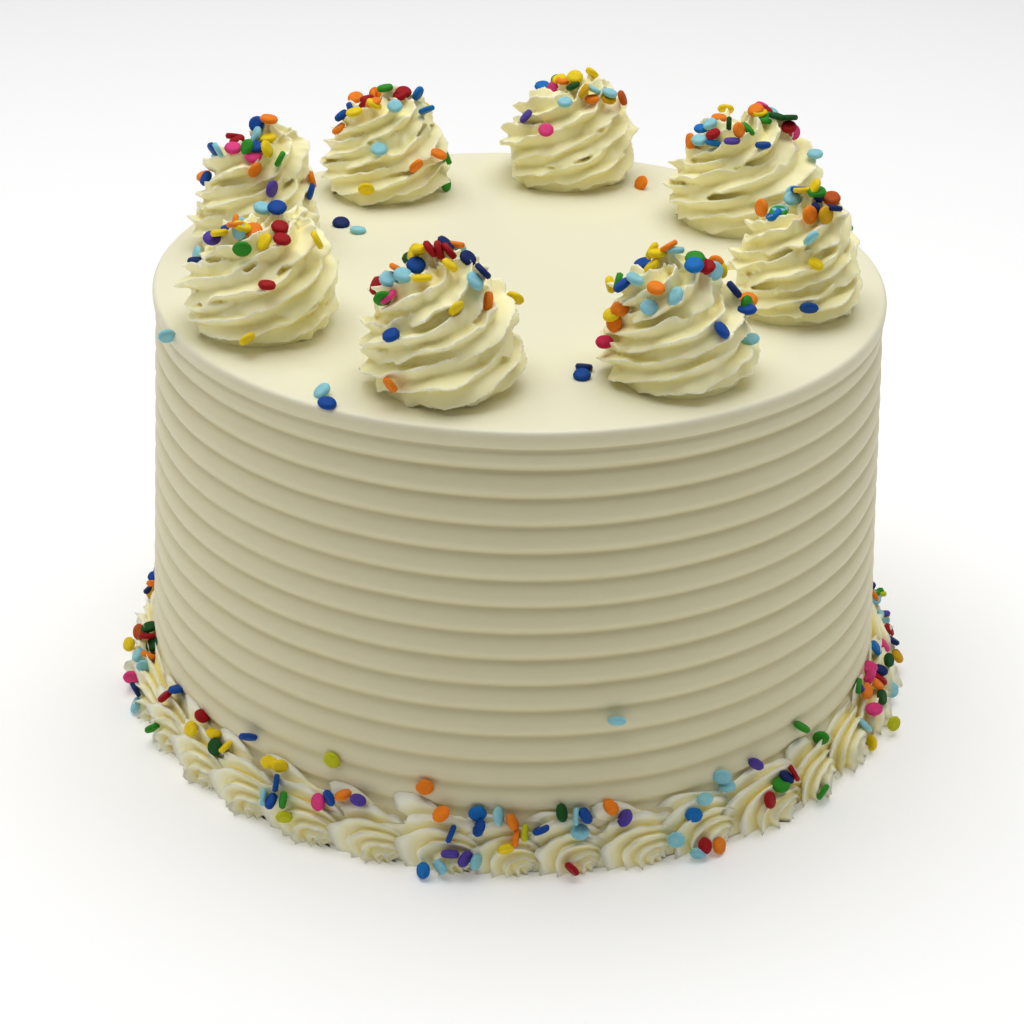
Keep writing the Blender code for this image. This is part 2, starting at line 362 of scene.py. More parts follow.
def creamFinish(name):
    # whipped buttercream with a fine grain; painted shade makes it darker and yellower in the folds, a
    # painted highlight makes it whiter on the crests, and on the comb painted light makes the top paler than
    # the side
    look = creamLook
    cream = creams[name]
    material, tree, shader, place = newFinish(name, look["roughness"])
    pointiness = addNode(tree, "ShaderNodeNewGeometry").outputs["Pointiness"]
    far = look["cloudPaleness"]
    pale = tuple((1.0 - far) * a + far * b for a, b in zip(cream["body"], cream["crest"]))
    clouds = noise(tree, place, look["cloudScale"], look["cloudDetail"])
    tone = blend(tree, clouds, cream["body"], pale)
    # painted light: the top is given a paler colour than the side
    if "top" in cream:
        height = addNode(tree, "ShaderNodeSeparateXYZ", Vector=place).outputs["Z"]
        paintedLightOnTop = ramp(tree, height, topHeight - look["topFrom"], topHeight - look["topFull"])
        tone = blend(tree, paintedLightOnTop, tone, cream["top"])
    # painted shade in the folds and a painted highlight on the crests, picked out by pointiness
    paintedShadeInFold = ramp(tree, pointiness, look["foldFrom"], look["foldFrom"] - cream["sharp"])
    tone = blend(tree, paintedShadeInFold, tone, cream["fold"])
    paintedHighlightOnCrest = ramp(tree, pointiness, look["crestFrom"], look["crestFrom"] + cream["sharp"])
    tone = blend(tree, paintedHighlightOnCrest, tone, cream["crest"])
    tree.links.new(tone, shader["Base Color"])
    stretch = addNode(tree, "ShaderNodeMapping", Vector=place, Scale=(1.0, 1.0, cream["streaks"]))
    scale = look["grainScale"] / cream["streaks"]
    grain = noise(tree, stretch.outputs["Vector"], scale, look["grainDetail"], look["grainRoughness"])
    roughen(tree, shader, grain, look)
    shader["Subsurface Weight"].default_value = look["scatter"]
    shader["Subsurface Radius"].default_value = look["scatterColours"]
    shader["Subsurface Scale"].default_value = look["scatterReach"]
    return material


def sprinkleFinish(name, colour):
    # sugar coating: matt, slightly mottled and grainy
    look = sprinkleLook
    material, tree, shader, place = newFinish(name, look["roughness"])
    mottle = noise(tree, place, look["mottleScale"], look["mottleDetail"])
    dark = tuple(look["dark"] * c for c in colour)
    light = tuple(min(1.0, look["light"] * c + look["lift"]) for c in colour)
    tree.links.new(blend(tree, mottle, dark, light), shader["Base Color"])
    roughen(tree, shader, mottle, look)
    shader["Specular IOR Level"].default_value = look["gloss"]
    return material


# Mesh helpers


def runTree(source, tree, values, name):
    modifier = source.modifiers.new(tree.name, "NODES")
    modifier.node_group = tree
    for socket in tree.interface.items_tree:
        if socket.in_out == "INPUT" and socket.name in values:
            modifier[socket.identifier] = values[socket.name]
    graph = bpy.context.evaluated_depsgraph_get()
    graph.update()
    mesh = bpy.data.meshes.new_from_object(source.evaluated_get(graph))
    source.modifiers.remove(modifier)
    bpy.data.objects.remove(source, do_unlink=True)
    mesh.name = name
    return addObject(name, mesh)


def objectFromArrays(name, points, faces):
    mesh = bpy.data.meshes.new(name)
    mesh.from_pydata([tuple(p) for p in points], [], faces)
    mesh.update()
    return addObject(name, mesh)


def storeAttribute(mesh, name, kind, values):
    stored = mesh.attributes.new(name, kind, "POINT")
    field = "vector" if kind == "FLOAT_VECTOR" else "value"
    stored.data.foreach_set(field, np.array(values).ravel())


def pointNormalsOut(mesh):
    bm = bmesh.new()
    bm.from_mesh(mesh)
    bmesh.ops.recalc_face_normals(bm, faces=bm.faces)
    bm.to_mesh(mesh)
    bm.free()
    mesh.shade_smooth()


# Cake body: a profile turned round the axis by Geometry Nodes, with combed ridges

cakeShape = {
    "sideRadius": 99.5 * mm,  # at midHeight
    "midHeight": 60.0 * mm,
    "taper": 0.0645,
    "firstGroove": 23.7 * mm,
    "lastGroove": 108.1 * mm,
    "ridges": 12,
    "grooveDepth": 1.5 * mm,
    "ridgeRoundness": 2.4,  # higher makes broader ridges and narrower grooves
    "crestShare": 0.42,  # how far up a ridge its crest is
    "pointsPerRidge": 10,
    "fadeAfter": 0.5,  # ridges past the last groove where the comb has left the cream
    "fadeOver": 0.3,  # and ridges over which it leaves
    "lipLine": 113.6 * mm,
    "lipLineDepth": 0.55 * mm,
    "lineStart": 1.5 * mm,  # below the lip's line, where the combed rows stop
    "lineHalf": 0.7 * mm,
    "lineEdge": 0.3,  # share of its depth at its lower edge
    "lipBulge": 0.8 * mm,
    "lipSwell": (0.4, 0.9),  # shares of the bulge just over the line and half way up
    "lipRise": 0.5 * mm,
    "lipRound": 1.3 * mm,
    "lipPoints": 6,
    "underShares": (0.0, 0.5, 0.97),  # rings of the underside and of the top, as shares of its radius
    "topShares": (0.985, 0.96, 0.92, 0.86, 0.78, 0.68, 0.56, 0.42, 0.27, 0.12, 0.0),
    "around": 384,
    "grooveUnevenness": 0.35,
    "biteScale": (12.0, 12.0, 70.0),
    "biteDetail": 2.0,
    "wander": 0.55 * mm,
    "wanderScale": 22.0,
    "wanderDetail": 1.0,
    "wanderFade": (100.0, 50.0),  # 1 / metres over which it fades in from the floor and from the axis
    "seed": 4.0,
    "weld": 0.001 * mm,
}


def sideRadius(height):
    return cakeShape["sideRadius"] - cakeShape["taper"] * (height - cakeShape["midHeight"])


def combPitch():
    return (cakeShape["lastGroove"] - cakeShape["firstGroove"]) / cakeShape["ridges"]


def combDepth(height):
    # depth of the comb's mark at a height: none on a crest, full in a groove
    share = ((height - cakeShape["firstGroove"]) / combPitch()) % 1.0
    crest = cakeShape["crestShare"]
    away = (crest - share) / crest if share < crest else (share - crest) / (1.0 - crest)
    return cakeShape["grooveDepth"] * away ** cakeShape["ridgeRoundness"]


def cakeProfile():
    # rows of plain radius, groove depth and height, from the middle of the underside to that of the top
    shape = cakeShape
    pitch = combPitch()
    line = shape["lipLine"]
    combed = line - shape["lineStart"]
    count = int(round(combed / (pitch / shape["pointsPerRidge"])))
    rows = [(share * sideRadius(0.0), 0.0, 0.0) for share in shape["underShares"]]
    for i in range(count + 1):
        height = combed * i / count
        left = shape["lastGroove"] + shape["fadeAfter"] * pitch - height
        fade = min(1.0, max(0.0, left / (shape["fadeOver"] * pitch)))
        rows.append((sideRadius(height), combDepth(height) * fade, height))
    lipMiddle = topHeight - shape["lipRound"]
    halfWay = 0.5 * (line + lipMiddle) + shape["lipRise"]
    over, up = shape["lipSwell"]
    rows.append((sideRadius(line), shape["lineEdge"] * shape["lipLineDepth"], line - shape["lineHalf"]))
    rows.append((sideRadius(line), shape["lipLineDepth"], line))
    rows.append((sideRadius(line), -over * shape["lipBulge"], line + shape["lineHalf"]))
    rows.append((sideRadius(lipMiddle), -up * shape["lipBulge"], halfWay))
    outer = sideRadius(lipMiddle) + shape["lipBulge"]
    for i in range(shape["lipPoints"] + 1):
        turn = 0.5 * math.pi * i / shape["lipPoints"]
        radius = outer - shape["lipRound"] * (1.0 - math.cos(turn))
        rows.append((radius, 0.0, lipMiddle + shape["lipRound"] * math.sin(turn)))
    inner = outer - shape["lipRound"]
    rows += [(inner * share, 0.0, topHeight) for share in shape["topShares"]]
    return rows


def turnTree():
    tree, given, result = newTree("turned profile", {
        "Around": ("Int", 256),
        "Groove Unevenness": ("Float", 0.3),
        "Wander": ("Float", 0.5 * mm),
        "Wander Scale": ("Float", 20.0),
        "Seed": ("Float", 0.0),
        "Cream": ("Material", None),
    })
    profile = given["Geometry"]
    rows = addNode(tree, "GeometryNodeAttributeDomainSize", Geometry=profile).outputs["Point Count"]
    columns = calculate(tree, "ADD", given["Around"], 1.0)
    grid = addNode(tree, "GeometryNodeMeshGrid", Vertices_X=columns, Vertices_Y=rows)
    index = addNode(tree, "GeometryNodeInputIndex").outputs[0]
    row = calculate(tree, "MODULO", index, rows)
    column = calculate(tree, "FLOOR", calculate(tree, "DIVIDE", index, rows))
    sample = tree.nodes.new("GeometryNodeSampleIndex")
    sample.data_type = "FLOAT_VECTOR"
    tree.links.new(profile, sample.inputs["Geometry"])
    tree.links.new(addNode(tree, "GeometryNodeInputPosition").outputs[0], sample.inputs["Value"])
    tree.links.new(row, sample.inputs["Index"])
    parts = addNode(tree, "ShaderNodeSeparateXYZ", Vector=sample.outputs["Value"]).outputs
    angle = calculate(tree, "DIVIDE", times(tree, column, 2.0 * math.pi), given["Around"])
    cosine = calculate(tree, "COSINE", angle)
    sine = calculate(tree, "SINE", angle)

    def ringPoint(radius, height):
        x = times(tree, radius, cosine)
        y = times(tree, radius, sine)
        return addNode(tree, "ShaderNodeCombineXYZ", X=x, Y=y, Z=height).outputs[0]

    def seededNoise(place, scale, detail):
        made = addNode(tree, "ShaderNodeTexNoise", Vector=place, Scale=scale, Detail=detail)
        made.noise_dimensions = "4D"
        tree.links.new(given["Seed"], made.inputs["W"])
        return made.outputs

    # the comb bites unevenly, in long stretches round the side
    plain = ringPoint(parts["X"], parts["Z"])
    stretched = vectorMath(tree, "MULTIPLY", plain, cakeShape["biteScale"])
    bite = seededNoise(stretched, 1.0, cakeShape["biteDetail"])["Fac"]
    uneven = times(tree, calculate(tree, "SUBTRACT", bite, 0.5), 2.0)
    uneven = calculate(tree, "MULTIPLY_ADD", uneven, given["Groove Unevenness"], 1.0)
    depth = times(tree, parts["Y"], uneven)
    point = ringPoint(calculate(tree, "SUBTRACT", parts["X"], depth), parts["Z"])

    # the whole surface wanders a little, as it does under a hand-held comb, but not on the floor
    drift = seededNoise(plain, given["Wander Scale"], cakeShape["wanderDetail"])["Color"]
    centred = vectorMath(tree, "SUBTRACT", drift, (0.5, 0.5, 0.5))  # about no drift
    fromFloor, fromAxis = cakeShape["wanderFade"]
    fade = calculate(tree, "MINIMUM", times(tree, parts["Z"], fromFloor), 1.0)
    edge = calculate(tree, "MINIMUM", times(tree, parts["X"], fromAxis), 1.0)
    amount = times(tree, times(tree, fade, edge), given["Wander"])
    offset = vectorMath(tree, "SCALE", centred, amount)
    moved = addNode(
        tree, "GeometryNodeSetPosition", Geometry=grid.outputs["Mesh"], Position=point, Offset=offset,
    ).outputs[0]
    welded = addNode(tree, "GeometryNodeMergeByDistance", Geometry=moved, Distance=cakeShape["weld"])
    endTree(tree, welded.outputs[0], given["Cream"], result)
    return tree


def makeCake(cream):
    profile = objectFromArrays("cakeProfile", cakeProfile(), [])
    piece = runTree(profile, turnTree(), {
        "Around": cakeShape["around"],
        "Groove Unevenness": cakeShape["grooveUnevenness"],
        "Wander": cakeShape["wander"],
        "Wander Scale": cakeShape["wanderScale"],
        "Seed": cakeShape["seed"],
        "Cream": cream,
    }, "cake_body")
    pointNormalsOut(piece.data)
    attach(piece, "root")
    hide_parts("cake")
    return piece


# Piped swirls: a fluted rope of cream laid along a rising, shrinking coil

swirlShape = {
    "turns": 2.9,
    "twist": 0.88,  # how far the flutes turn round the rope for each turn of the coil
    "stations": 400,
    "flutes": 8,
    "pointsPerFlute": 10,
    "ropeShare": 0.178,  # rope's radius as a share of the swirl's width
    "squash": 0.93,  # its height as a share of its width
    "foot": 0.88,  # height of its middle at the start, as a share of its radius
    "startTaper": 0.02,  # share of its length over which it thickens at the start
    "startThinness": 0.02,
    "thinnest": 0.01,
    "fluteDepth": 0.42,  # share of the rope's radius
    "crestPower": 1.05,  # lower makes sharper crests
    # turns of the coil, then shares by there: of the height, of the half width, of the rope's radius
    "path": (
        (0.0, 0.0, 1.0, 1.0), (0.6, 0.02, 0.98, 1.0), (0.95, 0.2, 0.96, 1.03), (1.3, 0.3, 0.93, 1.08),
        (1.7, 0.37, 0.88, 1.12), (2.0, 0.49, 0.82, 1.18), (2.3, 0.57, 0.72, 1.24), (2.55, 0.64, 0.61, 1.24),
        (2.75, 0.75, 0.48, 1.05), (2.85, 0.88, 0.28, 0.6), (2.9, 1.0, 0.0, 0.01),
    ),
    "pathRound": 10,  # stations each way over which the path's corners are rounded
    # each unevenness: its amount and the stations from bend to bend; the crests' have two sizes of bend
    "girthUneven": (0.04, 25.0),
    "coilUneven": (0.03, 30.0),
    "raggedness": 0.07,
    "raggedBends": ((1.0, 4.0), (0.8, 12.0)),
    "waviness": 0.08,  # radians that a crest wanders round the rope
    "wavyBends": ((1.0, 8.0), (0.6, 3.5)),
    "sunk": 0.25 * mm,  # below the cake's top
    # the core inside the coil: it reaches into the rope, and has a ring at every 12th of the rope's stations
    "core": {"intoRope": 0.3, "length": 0.86, "every": 12, "sides": 32, "sunk": 0.2 * mm},
    "voxel": 0.42 * mm,
    "quickVoxel": 0.8 * mm,
    "seed": 11,  # of the first swirl; each next one has the next seed
}

# angle and start of the coil in degrees, the angle round the cake's axis; lean is the peak's, along X
swirls = {
    "swirl_1": {
        "angle": -104.4, "distance": 71.8 * mm, "start": 164.0,
        "width": 41.4 * mm, "height": 34.6 * mm, "lean": -2.0 * mm,
    },
    "swirl_2": {
        "angle": -58.6, "distance": 73.6 * mm, "start": 150.0,
        "width": 38.8 * mm, "height": 32.6 * mm, "lean": -4.0 * mm,
    },
    "swirl_3": {
        "angle": -15.5, "distance": 72.1 * mm, "start": 190.0,
        "width": 36.6 * mm, "height": 32.3 * mm, "lean": 4.0 * mm,
    },
    "swirl_4": {
        "angle": 35.0, "distance": 75.8 * mm, "start": 150.0,
        "width": 44.0 * mm, "height": 31.9 * mm, "lean": 2.0 * mm,
    },
    "swirl_5": {
        "angle": 81.0, "distance": 77.5 * mm, "start": 200.0,
        "width": 42.6 * mm, "height": 30.0 * mm, "lean": 5.0 * mm,
    },
    "swirl_6": {
        "angle": 123.0, "distance": 73.6 * mm, "start": 160.0,
        "width": 38.6 * mm, "height": 31.0 * mm, "lean": 3.0 * mm,
    },
    "swirl_7": {
        "angle": 165.5, "distance": 74.6 * mm, "start": 175.0,
        "width": 37.4 * mm, "height": 35.3 * mm, "lean": 4.5 * mm,
    },
    "swirl_8": {
        "angle": -150.0, "distance": 75.0 * mm, "start": 190.0,
        "width": 42.0 * mm, "height": 30.6 * mm, "lean": 6.5 * mm,
    },
}


def smoothNoise(rng, count, length):
    # a smooth random line of about unit height, with a bend every few of its points
    knots = rng.normal(0.0, 1.0, int(count / length) + 4)
    place = np.linspace(0.0, len(knots) - 1.001, count)
    low = place.astype(int)
    share = place - low
    share = share * share * (3.0 - 2.0 * share)
    return knots[low] * (1.0 - share) + knots[low + 1] * share


def pathLine(values, along):
    # a column of the path at each station, with its corners rounded
    shape = swirlShape
    reach = shape["pathRound"]
    turns = [row[0] for row in shape["path"]]
    line = np.interp(along * shape["turns"], turns, values)
    line = np.pad(line, reach, mode="reflect", reflect_type="odd")
    return np.convolve(line, np.full(2 * reach + 1, 1 / (2 * reach + 1)), "valid")


def crestNoise(rng, count, bends):
    return sum(share * smoothNoise(rng, count, length) for share, length in bends)[:, None]


def ropeGrid(spec, rng):
    # points of the rope's skin, one row of section points for each station along the coil
    shape = swirlShape
    rope = shape["ropeShare"] * spec["width"]
    along = np.linspace(0.0, 1.0, shape["stations"])
    turn = math.radians(spec["start"]) + 2.0 * math.pi * shape["turns"] * along
    climb, reach, girth = (pathLine(values, along) for values in list(zip(*shape["path"]))[1:])
    amount, bend = shape["girthUneven"]
    size = rope * np.clip(girth, shape["thinnest"], None)
    size = size * (1.0 + amount * smoothNoise(rng, len(along), bend))
    size *= np.sqrt(np.clip(along / shape["startTaper"], shape["startThinness"], 1.0))
    amount, bend = shape["coilUneven"]
    coil = np.clip(0.5 * spec["width"] * reach - rope * girth, 0.0, None)
    coil = coil * (1.0 + amount * smoothNoise(rng, len(along), bend))
    foot = shape["foot"] * rope
    rise = foot + (spec["height"] - foot) * climb
    out = np.stack([np.cos(turn), np.sin(turn), np.zeros_like(turn)], 1)
    middle = out * coil[:, None]
    middle[:, 0] += spec["lean"] * along**2
    middle[:, 2] = rise
    ahead = np.gradient(middle, axis=0)
    ahead /= np.linalg.norm(ahead, axis=1)[:, None]
    out -= ahead * (out * ahead).sum(1)[:, None]
    out /= np.linalg.norm(out, axis=1)[:, None]
    upward = np.cross(out, ahead)
    perFlute = shape["pointsPerFlute"]
    count = shape["flutes"] * perFlute
    section = 2.0 * math.pi * np.arange(count) / count
    crest = 1.0 - np.abs(np.sin(0.5 * shape["flutes"] * section)) ** shape["crestPower"]
    ragged = np.zeros((len(along), count))
    wavy = np.zeros((len(along), count))
    for flute in range(shape["flutes"]):
        near = np.abs((np.arange(count) - flute * perFlute + count / 2) % count - count / 2)
        near = np.clip(1.0 - near / (0.5 * perFlute), 0.0, 1.0)[None, :]
        ragged += near * crestNoise(rng, len(along), shape["raggedBends"])
        wavy += near * crestNoise(rng, len(along), shape["wavyBends"])
    radius = 1.0 - shape["fluteDepth"] * (1.0 - crest[None, :]) + shape["raggedness"] * ragged
    radius = (radius * size[:, None])[:, :, None]
    angle = section[None, :] + shape["twist"] * (turn - turn[0])[:, None] + shape["waviness"] * wavy
    sideways = np.cos(angle)[:, :, None] * out[:, None, :]
    upwards = shape["squash"] * np.sin(angle)[:, :, None] * upward[:, None, :]
    points = middle[:, None, :] + radius * (sideways + upwards)
    return points, coil + shape["core"]["intoRope"] * size, rise


def gridFaces(rows, columns, start=0):
    faces = []
    for row in range(rows - 1):
        for column in range(columns):
            after = (column + 1) % columns
            here = start + row * columns
            faces.append((here + column, here + after, here + columns + after, here + columns + column))
    return faces


def closedTube(points, start=0):
    # a tube's points and faces, with a fan over each end
    rows, columns, _ = points.shape
    flat = points.reshape(-1, 3)
    ends = np.array([points[0].mean(0), points[-1].mean(0)])
    faces = gridFaces(rows, columns, start)
    first = start + rows * columns
    last = start + (rows - 1) * columns
    for column in range(columns):
        after = (column + 1) % columns
        faces.append((start + after, start + column, first))
        faces.append((last + column, last + after, first + 1))
    return np.concatenate([flat, ends]), faces


def coreTube(radius, rise, spec):
    # a plain core, so that the middle of the coil isn't hollow
    core = swirlShape["core"]
    turn = 2.0 * math.pi * np.arange(core["sides"]) / core["sides"]
    keep = np.arange(0, int(core["length"] * len(radius)), core["every"])
    heights = np.concatenate([[-core["sunk"]], rise[keep]])
    radii = np.concatenate([[radius[keep[1]]], [radius[keep[1]]], radius[keep[1:]]])
    sway = spec["lean"] * np.concatenate([[0.0], (keep / len(radius)) ** 2])
    return np.stack([
        sway[:, None] + radii[:, None] * np.cos(turn)[None, :],
        radii[:, None] * np.sin(turn)[None, :],
        np.repeat(heights[:, None], len(turn), 1),
    ], 2)


def dropCrumbs(mesh):
    # the remesh leaves specks and bubbles in the folds, and only the largest closed surface stays
    ends = np.empty(2 * len(mesh.edges), int)
    mesh.edges.foreach_get("vertices", ends)
    ends = ends.reshape(-1, 2)
    island = np.arange(len(mesh.vertices))
    settled = False
    while not settled:
        lower = island[ends].min(1)
        joined = island.copy()
        np.minimum.at(joined, ends[:, 0], lower)
        np.minimum.at(joined, ends[:, 1], lower)
        joined = joined[joined]
        settled = bool((joined == island).all())
        island = joined
    crumbs = np.flatnonzero(island != np.bincount(island).argmax())
    if len(crumbs) == 0:
        return
    bm = bmesh.new()
    bm.from_mesh(mesh)
    bm.verts.ensure_lookup_table()
    bmesh.ops.delete(bm, geom=[bm.verts[int(number)] for number in crumbs], context="VERTS")
    bm.to_mesh(mesh)
    bm.free()


def remeshed(source, voxel, name):
    modifier = source.modifiers.new("blend", "REMESH")
    modifier.mode = "VOXEL"
    modifier.voxel_size = voxel
    modifier.use_smooth_shade = True
    graph = bpy.context.evaluated_depsgraph_get()
    mesh = bpy.data.meshes.new_from_object(source.evaluated_get(graph))
    bpy.data.objects.remove(source, do_unlink=True)
    dropCrumbs(mesh)
    mesh.name = name
    return addObject(name, mesh)


def makeSwirl(node, spec, seed, cream):
    rng = np.random.default_rng(seed)
    rope, coreRadius, rise = ropeGrid(spec, rng)
    points, faces = closedTube(rope)
    core, coreFaces = closedTube(coreTube(coreRadius, rise, spec), len(points))
    points = np.concatenate([points, core])
    points[:, 2] = np.maximum(points[:, 2], -swirlShape["sunk"])
    angle = math.radians(spec["angle"])
    points += np.array([spec["distance"] * math.cos(angle), spec["distance"] * math.sin(angle), topHeight])
    rough = objectFromArrays(node + "Rope", points, faces + coreFaces)
    voxel = swirlShape["voxel"]
    piece = remeshed(rough, voxel, "piped_" + node)
    piece.data.materials.clear()
    piece.data.materials.append(cream)
    piece.data.shade_smooth()
    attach(piece, "root")
    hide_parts(node)
    return piece


# Shell border: three fluted shells, repeated round the foot by Geometry Nodes

shellShape = {
    "count": 36,
    "seenHeads": (-127.1, -115.9, -106.1, -95.8, -87.2, -78.3, -68.4, -58.2, -45.9),  # degrees
    "headScatter": 1.0,
    "usualStep": 10.0,  # degrees from head to head for an unstretched shell
    "stretch": (0.85, 1.2),  # least and most
    "fanMiddle": -19.5 * mm,  # where the crests come together, low down behind the next head
    "fanHeight": 0.8 * mm,
    "sitRadius": 101.6 * mm,
    "sunk": 1.0 * mm,  # the back's depth inside the cake's side
    "clearance": 0.02 * mm,  # from the floor
    "stations": 30,
    "flutes": 17,
    "pointsPerFlute": 8,
    "sectionShare": 0.27,  # of a full turn, each way
    "fluteDepth": 0.30,
    "crestPower": 0.8,
    "raggedness": 0.08,
    "raggedBend": 3.5,  # stations from bend to bend
    "reachUneven": (0.012, 8.0),
    "softenings": 4,
    "slump": 1.6,  # above 1 the crests crowd towards the foot
    "topFlare": 0.10,  # how far the top crest's tip stands up at the wall
    "flareSection": (60.0, 20.0),  # degrees round the section at which it starts, and over which it grows
    "flareSweep": (48.0, 12.0),  # degrees of the sweep: its middle and its spread
    "frontOut": 5.6 * mm,  # how far the ring stands out in front, and how much more at its right and left
    "rightOut": 4.6 * mm,
    "leftOut": 3.4 * mm,
    "sidePower": 1.4,
    "outScatter": (0.95, 1.05),
    "heightScatter": (0.89, 0.99),
    # sweep of the fan from the floor in degrees; how far it reaches from its middle; how far it stands out
    "fan": (
        (0.0, 20.6 * mm, 6.8 * mm), (10.0, 22.6 * mm, 7.4 * mm), (20.0, 24.2 * mm, 7.5 * mm),
        (30.0, 24.8 * mm, 7.4 * mm), (40.0, 23.6 * mm, 7.1 * mm), (52.0, 20.8 * mm, 6.6 * mm),
        (64.0, 18.3 * mm, 6.1 * mm), (78.0, 15.6 * mm, 5.5 * mm), (94.0, 12.2 * mm, 4.7 * mm),
        (124.0, 8.0 * mm, 3.2 * mm),
    ),
    "seed": 36,
}


def shellGrid(rng):
    # local X points clockwise round the ring, Y out from the cake, Z up; the rows sweep up from the floor
    shape = shellShape
    angles, reaches, bulges = zip(*shape["fan"])
    sweep = np.linspace(0.0, angles[-1], shape["stations"])
    reach = np.interp(sweep, angles, reaches)
    bulge = np.interp(sweep, angles, bulges)
    soften = np.array([0.25, 0.5, 0.25])
    for _ in range(shape["softenings"]):
        reach[1:-1] = np.convolve(reach, soften, "valid")
        bulge[1:-1] = np.convolve(bulge, soften, "valid")
    amount, bend = shape["reachUneven"]
    reach *= 1.0 + amount * smoothNoise(rng, len(sweep), bend)
    turn = np.radians(sweep)
    count = shape["flutes"] * shape["pointsPerFlute"]
    half = int(count * shape["sectionShare"])
    section = 2.0 * math.pi * np.arange(-half, half + 1) / count
    crest = (1.0 - np.abs(np.sin(0.5 * shape["flutes"] * section)) ** shape["crestPower"])[None, :]
    ragged = np.stack([smoothNoise(rng, len(sweep), shape["raggedBend"]) for _ in section], 1)
    size = 1.0 - shape["fluteDepth"] * (1.0 - crest) + shape["raggedness"] * ragged * crest
    start, growth = shape["flareSection"]
    top = np.clip((np.degrees(section) - start) / growth, 0.0, 1.0)[None, :]
    middle, spread = shape["flareSweep"]
    size += shape["topFlare"] * top * np.exp(-(((sweep - middle) / spread) ** 2))[:, None]
    away = np.clip(0.5 * (1.0 + size * np.sin(section)[None, :]), 0.0, None) ** shape["slump"]
    away *= reach[:, None]
    out = bulge[:, None] * size * np.cos(section)[None, :]
    points = np.stack([
        shape["fanMiddle"] + away * np.cos(turn)[:, None],
        np.maximum(out, -shape["sunk"]),
        shape["fanHeight"] + away * np.sin(turn)[:, None],
    ], 2)
    back = points[:, [-1, 0], :].copy()
    back[:, :, 1] = -shape["sunk"]
    points = np.concatenate([points, back], 1)
    foot = points[:1].copy()
    foot[:, :, 2] = shape["clearance"]
    points = np.concatenate([foot, points])
    points[:, :, 1] -= points[:, :, 0] ** 2 / (2.0 * shape["sitRadius"])
    return points


def shellTree():
    tree, given, result = newTree("shells round a ring", {
        "Shell A": ("Object", None),
        "Shell B": ("Object", None),
        "Shell C": ("Object", None),
        "Cream": ("Material", None),
    })
    kinds = tree.nodes.new("GeometryNodeGeometryToInstance")
    for label in ("Shell C", "Shell B", "Shell A"):
        source = addNode(tree, "GeometryNodeObjectInfo", Object=given[label])
        tree.links.new(source.outputs["Geometry"], kinds.inputs["Geometry"])
    kind = storedValue(tree, "kind", "INT")
    placed = copiesOn(tree, given["Geometry"], kinds.outputs[0], Pick_Instance=True, Instance_Index=kind)
    endTree(tree, placed, given["Cream"], result)
    return tree


def makeBorder(cream):
    shape = shellShape
    rng = np.random.default_rng(shape["seed"])
    shells = {}
    for label in ("Shell A", "Shell B", "Shell C"):
        points, faces = closedTube(shellGrid(rng))
        shells[label] = objectFromArrays(label, points, faces)
        pointNormalsOut(shells[label].data)
    seen = shape["seenHeads"]
    rest = shape["count"] - len(seen)
    step = (360.0 - seen[-1] + seen[0]) / (rest + 1)
    scatter = shape["headScatter"]
    heads = list(seen) + [seen[-1] + step * (i + 1) + rng.uniform(-scatter, scatter) for i in range(rest)]
    fullest = max(bulge for _, _, bulge in shape["fan"])
    least, most = shape["stretch"]
    radius = shape["sitRadius"]
    places, kinds, facings, swells = [], [], [], []
    for head, after in zip(heads, heads[1:] + [heads[0] + 360.0]):
        stretch = min(most, max(least, (after - head) / shape["usualStep"]))
        angle = math.radians(head)
        places.append((radius * math.cos(angle), radius * math.sin(angle), 0.0))
        kinds.append(int(rng.integers(0, len(shells))))
        facings.append((0.0, 0.0, angle - 0.5 * math.pi))
        side = shape["rightOut"] if math.cos(angle) > 0.0 else shape["leftOut"]
        out = (shape["frontOut"] + side * abs(math.cos(angle)) ** shape["sidePower"]) / fullest
        out *= rng.uniform(*shape["outScatter"])
        swells.append((stretch, out, rng.uniform(*shape["heightScatter"])))
    spots = objectFromArrays("shellSpots", places, [])
    storeAttribute(spots.data, "kind", "INT", kinds)
    storeAttribute(spots.data, "facing", "FLOAT_VECTOR", facings)
    storeAttribute(spots.data, "swell", "FLOAT_VECTOR", swells)
    piece = runTree(spots, shellTree(), {**shells, "Cream": cream}, "piped_border")
    for shell in shells.values():
        bpy.data.objects.remove(shell, do_unlink=True)
    piece.data.shade_smooth()
    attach(piece, "root")
    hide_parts("shell_border")
    return piece


# Sprinkles: round discs, one mesh for each colour, placed where the photo shows them

sprinkleShape = {
    "diameter": 4.7 * mm,
    "thickness": 1.3 * mm,
    "sides": 14,
    "segments": 2,
    "edgeRound": 0.13,
    "sizes": (0.93, 1.07),
    "widths": (0.96, 1.0),
    "depths": (0.9, 1.1),
    "standing": 0.45,  # how far a disc on edge stands out of the cream, as a share of its radius
    "sink": 0.1 * mm,
    "feel": 2.4 * mm,  # how far round a disc the surface under it is felt
    "crestShare": 0.95,  # of the heights felt there, those below the disc
    "leastSlant": 0.4,
    "openness": (0.05, 0.97),  # least and most that a disc's face is turned to the camera
    "hiddenLean": 50.0,  # most degrees from lying flat, for one that the photo doesn't show
    "offSide": 0.6 * mm,  # least distance of its middle from the cake's plain side
    "overhang": 1.2 * mm,  # a disc seen further off its swirl than this goes onto it
    "inwards": 3,  # and stops this many pixels inside the swirl's seen edge
    "swirlMiddle": 0.55,  # share of its height that such a disc goes towards
    "seed": 5,
    "searchRange": (0.35, 0.85, 160),  # metres from the camera, and steps, to find cream beside a ray
}

